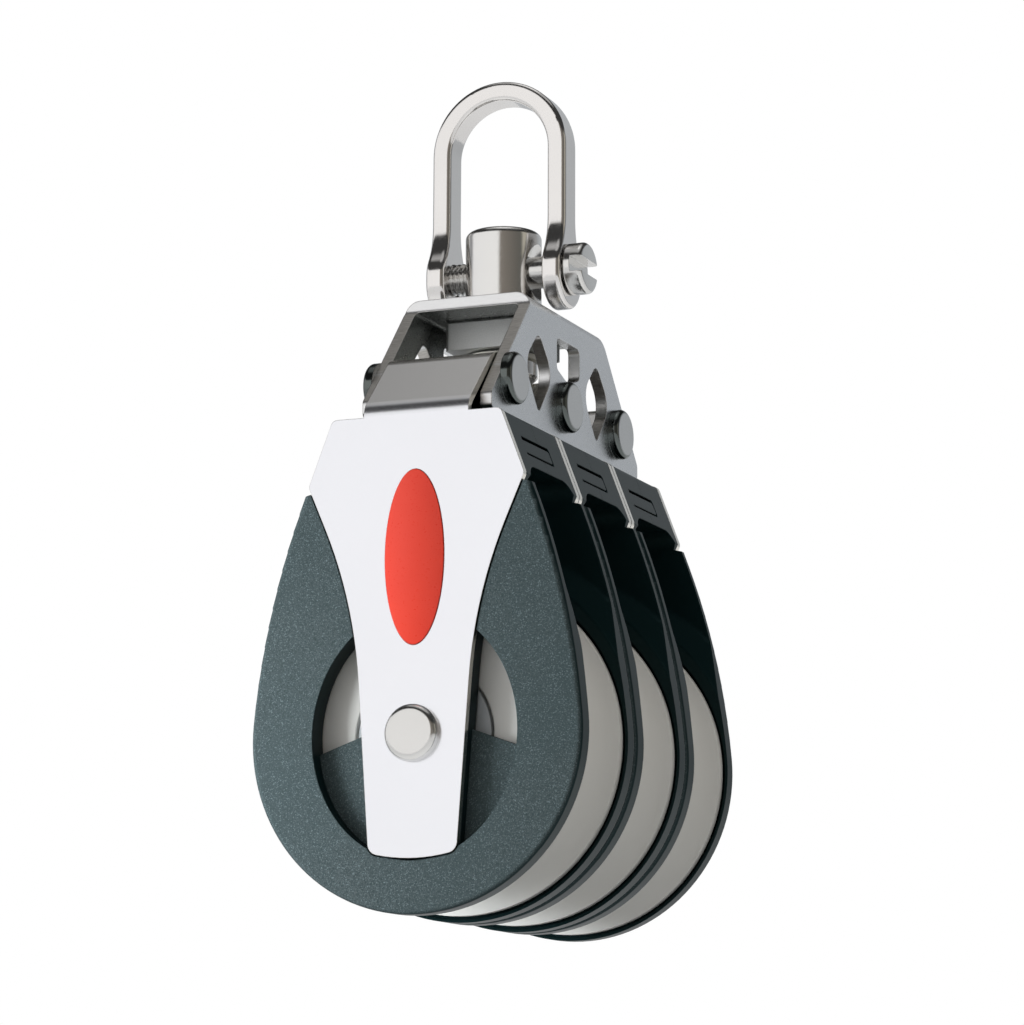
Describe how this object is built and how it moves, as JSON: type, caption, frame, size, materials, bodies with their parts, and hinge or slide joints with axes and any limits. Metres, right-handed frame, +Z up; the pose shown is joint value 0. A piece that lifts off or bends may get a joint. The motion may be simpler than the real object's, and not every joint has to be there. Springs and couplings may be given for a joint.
{
  "type": "triple block",
  "caption": "Rope block with sheaves side by side on one axle, strapped moulded cheeks, and a swivel head with a long screw-pin shackle.",
  "frame": {"origin": "centre of the shackle's round, where the block hangs", "axes": "+Z up along the hanging block, +Y along the sheave axle and through the shackle, away from the badge, +X across the cheeks, towards the head of the screw pin"},
  "size_m": [0.056, 0.075, 0.1426],
  "materials": {
    "shackle_steel": "polished stainless steel, cast and tumbled",
    "strap_steel": "mirror-polished stainless sheet",
    "bracket_steel": "satin stainless plate",
    "cheek_plastic": "slate grey glass-filled moulding, finely speckled",
    "sheave_plastic": "warm off-white moulding",
    "race_plastic": "pale blue-grey moulding",
    "bearing_plastic": "white, smooth",
    "badge_red": "orange-red, glossy, bare"
  },
  "bodies": {
    "shackle": {"shackle_bow": "shackle_steel"},
    "screw_pin": {"shackle_pin": "shackle_steel"},
    "swivel": {"swivel_post": "shackle_steel", "swivel_nut": "bracket_steel", "thrust_washer": "bearing_plastic"},
    "block": {"head_bracket": "bracket_steel", "swivel_bearing": "bracket_steel", "axle": "strap_steel", "badge": "badge_red", "head_pin_front": "strap_steel", "strap_front": "strap_steel", "cheek_front_near": "cheek_plastic", "cheek_front_far": "cheek_plastic", "inner_race_front": "race_plastic", "roller_retainers_front": "race_plastic", "head_pin_middle": "strap_steel", "strap_middle": "strap_steel", "cheek_middle_near": "cheek_plastic", "cheek_middle_far": "cheek_plastic", "inner_race_middle": "race_plastic", "roller_retainers_middle": "race_plastic", "head_pin_rear": "strap_steel", "strap_rear": "strap_steel", "cheek_rear_near": "cheek_plastic", "cheek_rear_far": "cheek_plastic", "inner_race_rear": "race_plastic", "roller_retainers_rear": "race_plastic"},
    "front_sheave": {"sheave_front": "sheave_plastic"},
    "front_rollers": {"roller_set_front": "bearing_plastic"},
    "middle_sheave": {"sheave_middle": "sheave_plastic"},
    "middle_rollers": {"roller_set_middle": "bearing_plastic"},
    "rear_sheave": {"sheave_rear": "sheave_plastic"},
    "rear_rollers": {"roller_set_rear": "bearing_plastic"}
  },
  "joints": [
    {"name": "screw_pin_withdraw", "type": "slide", "parent": "shackle", "child": "screw_pin", "axis": [1, 0, 0], "range_m": [0, 0.025]},
    {"name": "shackle_swing", "type": "hinge", "parent": "shackle", "child": "swivel", "pos_m": [0, 0, -0.0212], "axis": [1, 0, 0], "range_deg": [-100, 100]},
    {"name": "head_swivel", "type": "hinge", "parent": "swivel", "child": "block", "pos_m": [0, 0, -0.0282], "axis": [0, 0, 1], "continuous": true},
    {"name": "front_sheave_spin", "type": "hinge", "parent": "block", "child": "front_sheave", "pos_m": [0, -0.024, -0.1025], "axis": [0, 1, 0], "continuous": true},
    {"name": "front_rollers_spin", "type": "hinge", "parent": "block", "child": "front_rollers", "pos_m": [0, -0.024, -0.1025], "axis": [0, 1, 0], "continuous": true},
    {"name": "middle_sheave_spin", "type": "hinge", "parent": "block", "child": "middle_sheave", "pos_m": [0, 0, -0.1025], "axis": [0, 1, 0], "continuous": true},
    {"name": "middle_rollers_spin", "type": "hinge", "parent": "block", "child": "middle_rollers", "pos_m": [0, 0, -0.1025], "axis": [0, 1, 0], "continuous": true},
    {"name": "rear_sheave_spin", "type": "hinge", "parent": "block", "child": "rear_sheave", "pos_m": [0, 0.024, -0.1025], "axis": [0, 1, 0], "continuous": true},
    {"name": "rear_rollers_spin", "type": "hinge", "parent": "block", "child": "rear_rollers", "pos_m": [0, 0.024, -0.1025], "axis": [0, 1, 0], "continuous": true}
  ],
  "couplings": [
    {"joint": "front_rollers_spin", "follows": "front_sheave_spin", "ratio": 0.5825},
    {"joint": "middle_rollers_spin", "follows": "middle_sheave_spin", "ratio": 0.5825},
    {"joint": "rear_rollers_spin", "follows": "rear_sheave_spin", "ratio": 0.5825}
  ]
}
